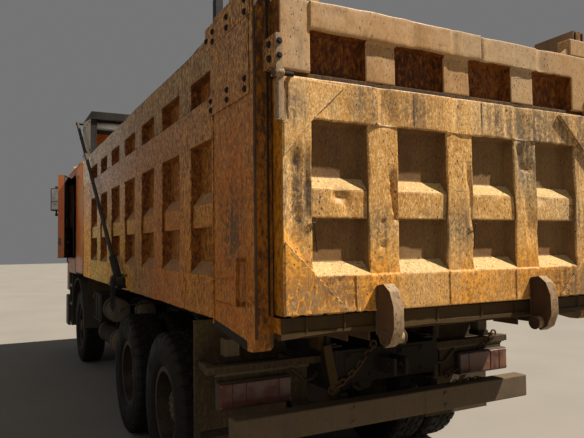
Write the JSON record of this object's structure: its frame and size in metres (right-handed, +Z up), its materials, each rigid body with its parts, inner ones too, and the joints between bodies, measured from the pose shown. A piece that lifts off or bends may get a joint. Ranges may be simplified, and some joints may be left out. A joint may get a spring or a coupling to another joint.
{
  "type": "dump truck",
  "caption": "Heavy tipper truck with a ribbed steel bed that tips rearward on a front telescopic hoist, a top-hung tailgate, a swing-arm bed cover, a tilting cab and twin drive axles.",
  "frame": {"origin": "on the ground under the middle of the vehicle", "axes": "+X forward along the vehicle, +Y to the driver's left, +Z up"},
  "size_m": [8.742, 3.0336, 3.6139],
  "materials": {
    "bar_tan": "bar under dried mud",
    "body_orange": "dusty, chipped orange paint",
    "cab_orange": "faded red-orange paint",
    "cast": "oily casting",
    "cover_cloth": "coated tarpaulin",
    "cover_steel": "dark painted steel",
    "frame_dark": "dusty black chassis paint",
    "glass_clear": "clear",
    "lamp_red": "dusty red lens",
    "rim_grey": "dusty grey steel",
    "rod_chrome": "ground rod",
    "rope_black": "braided rope",
    "rust_steel": "rusty steel",
    "seat_cloth": "woven",
    "tank_metal": "dull, dusty aluminium",
    "trim_black": "grained black plastic",
    "tyre_black": "dusty rubber"
  },
  "bodies": {
    "chassis": {"frame_rails": "frame_dark", "cross_members": "frame_dark", "front_axle": "cast", "leaf_springs": "frame_dark", "drive_axles": "cast", "engine_block": "cast", "fuel_tank": "tank_metal", "battery_box": "frame_dark", "air_tanks": "tank_metal", "underrun_bar": "bar_tan", "tail_lamps": "lamp_red", "rear_mudguards": "bar_tan", "bumper": "trim_black", "wheel_arches": "trim_black", "cab_steps": "trim_black"},
    "cab": {"cab_front": "cab_orange", "cab_rear_shell": "cab_orange", "cab_roof": "cab_orange", "cab_floor": "cab_orange", "windscreen": "glass_clear", "seats": "seat_cloth", "dashboard": "trim_black"},
    "steering_wheel": {"steering_wheel": "trim_black"},
    "left_door": {"left_door": "cab_orange", "left_door_glass": "glass_clear"},
    "right_door": {"right_door": "cab_orange", "right_door_glass": "glass_clear"},
    "bed": {"bed_floor": "body_orange", "bed_sides": "body_orange", "headboard": "body_orange", "hoist_well": "body_orange", "rear_frame": "body_orange", "side_extensions": "body_orange", "upper_tailgate": "body_orange", "cover_housing": "cover_steel", "rolled_cover": "cover_cloth"},
    "tailgate": {"tailgate": "body_orange", "gate_lugs": "rust_steel"},
    "cover_arms": {"cover_arms": "cover_steel", "rope_hank": "rope_black"},
    "hoist_barrel": {"hoist_barrel": "frame_dark"},
    "hoist_stage_1": {"hoist_stage_1": "rod_chrome"},
    "hoist_stage_2": {"hoist_stage_2": "rod_chrome"},
    "hoist_stage_3": {"hoist_stage_3": "rod_chrome"},
    "left_knuckle": {"left_knuckle": "frame_dark"},
    "right_knuckle": {"right_knuckle": "frame_dark"},
    "tie_rod": {"tie_rod": "frame_dark"},
    "front_left_wheel": {"front_left_rim": "rim_grey", "front_left_tyre": "tyre_black"},
    "front_right_wheel": {"front_right_rim": "rim_grey", "front_right_tyre": "tyre_black"},
    "mid_left_wheel": {"mid_left_rim": "rim_grey", "mid_left_tyre": "tyre_black"},
    "mid_right_wheel": {"mid_right_rim": "rim_grey", "mid_right_tyre": "tyre_black"},
    "rear_left_wheel": {"rear_left_rim": "rim_grey", "rear_left_tyre": "tyre_black"},
    "rear_right_wheel": {"rear_right_rim": "rim_grey", "rear_right_tyre": "tyre_black"}
  },
  "joints": [
    {"name": "bed_tilt", "type": "hinge", "parent": "chassis", "child": "bed", "pos_m": [-3.375, 0, 1.145], "axis": [0, -1, 0], "range_deg": [0, 48]},
    {"name": "tailgate_swing", "type": "hinge", "parent": "bed", "child": "tailgate", "pos_m": [-4.247, 0, 2.602], "axis": [0, 1, 0], "range_deg": [0, 70]},
    {"name": "cover_swing", "type": "hinge", "parent": "bed", "child": "cover_arms", "pos_m": [-1.025, 0, 1.43], "axis": [0, -1, 0], "range_deg": [0, 112]},
    {"name": "hoist_swing", "type": "hinge", "parent": "chassis", "child": "hoist_barrel", "pos_m": [2.15, 0, 0.8], "axis": [0, -1, 0], "range_deg": [0, 30]},
    {"name": "hoist_slide_1", "type": "slide", "parent": "hoist_barrel", "child": "hoist_stage_1", "axis": [0, 0, 1], "range_m": [0, 1.47]},
    {"name": "hoist_slide_2", "type": "slide", "parent": "hoist_stage_1", "child": "hoist_stage_2", "axis": [0, 0, 1], "range_m": [0, 1.47]},
    {"name": "hoist_slide_3", "type": "slide", "parent": "hoist_stage_2", "child": "hoist_stage_3", "axis": [0, 0, 1], "range_m": [0, 1.47]},
    {"name": "left_steer", "type": "hinge", "parent": "chassis", "child": "left_knuckle", "pos_m": [2.855, 0.82, 0.557], "axis": [0, 0, 1], "range_deg": [-35, 35]},
    {"name": "right_steer", "type": "hinge", "parent": "chassis", "child": "right_knuckle", "pos_m": [2.855, -0.82, 0.557], "axis": [0, 0, 1], "range_deg": [-35, 35]},
    {"name": "tie_rod_pivot", "type": "hinge", "parent": "left_knuckle", "child": "tie_rod", "pos_m": [2.665, 0.82, 0.45], "axis": [0, 0, 1], "range_deg": [-35, 35]},
    {"name": "steering_wheel_turn", "type": "hinge", "parent": "cab", "child": "steering_wheel", "pos_m": [3.725, 0.56, 1.885], "axis": [-0.5, 0, 0.866], "range_deg": [-600, 600]},
    {"name": "cab_tilt", "type": "hinge", "parent": "chassis", "child": "cab", "pos_m": [4.195, 0, 1], "axis": [0, 1, 0], "range_deg": [0, 50]},
    {"name": "left_door_hinge", "type": "hinge", "parent": "cab", "child": "left_door", "pos_m": [3.978, 1.22, 2], "axis": [0, 0, -1], "range_deg": [-18, 52]},
    {"name": "right_door_hinge", "type": "hinge", "parent": "cab", "child": "right_door", "pos_m": [3.978, -1.22, 2], "axis": [0, 0, 1], "range_deg": [0, 70]},
    {"name": "front_left_spin", "type": "hinge", "parent": "left_knuckle", "child": "front_left_wheel", "pos_m": [2.855, 1.03, 0.557], "axis": [0, 1, 0], "continuous": true},
    {"name": "front_right_spin", "type": "hinge", "parent": "right_knuckle", "child": "front_right_wheel", "pos_m": [2.855, -1.03, 0.557], "axis": [0, 1, 0], "continuous": true},
    {"name": "mid_left_spin", "type": "hinge", "parent": "chassis", "child": "mid_left_wheel", "pos_m": [-0.969, 0.9175, 0.557], "axis": [0, 1, 0], "continuous": true},
    {"name": "mid_right_spin", "type": "hinge", "parent": "chassis", "child": "mid_right_wheel", "pos_m": [-0.969, -0.9175, 0.557], "axis": [0, 1, 0], "continuous": true},
    {"name": "rear_left_spin", "type": "hinge", "parent": "chassis", "child": "rear_left_wheel", "pos_m": [-2.325, 0.9175, 0.557], "axis": [0, 1, 0], "continuous": true},
    {"name": "rear_right_spin", "type": "hinge", "parent": "chassis", "child": "rear_right_wheel", "pos_m": [-2.325, -0.9175, 0.557], "axis": [0, 1, 0], "continuous": true}
  ],
  "couplings": [
    {"joint": "hoist_swing", "follows": "bed_tilt", "ratio": 0.5941},
    {"joint": "hoist_slide_1", "follows": "bed_tilt", "m_per_rad": 1.7306},
    {"joint": "hoist_slide_2", "follows": "bed_tilt", "m_per_rad": 1.7306},
    {"joint": "hoist_slide_3", "follows": "bed_tilt", "m_per_rad": 1.7306},
    {"joint": "right_steer", "follows": "left_steer", "ratio": 1},
    {"joint": "tie_rod_pivot", "follows": "left_steer", "ratio": -1},
    {"joint": "steering_wheel_turn", "follows": "left_steer", "ratio": 17}
  ]
}
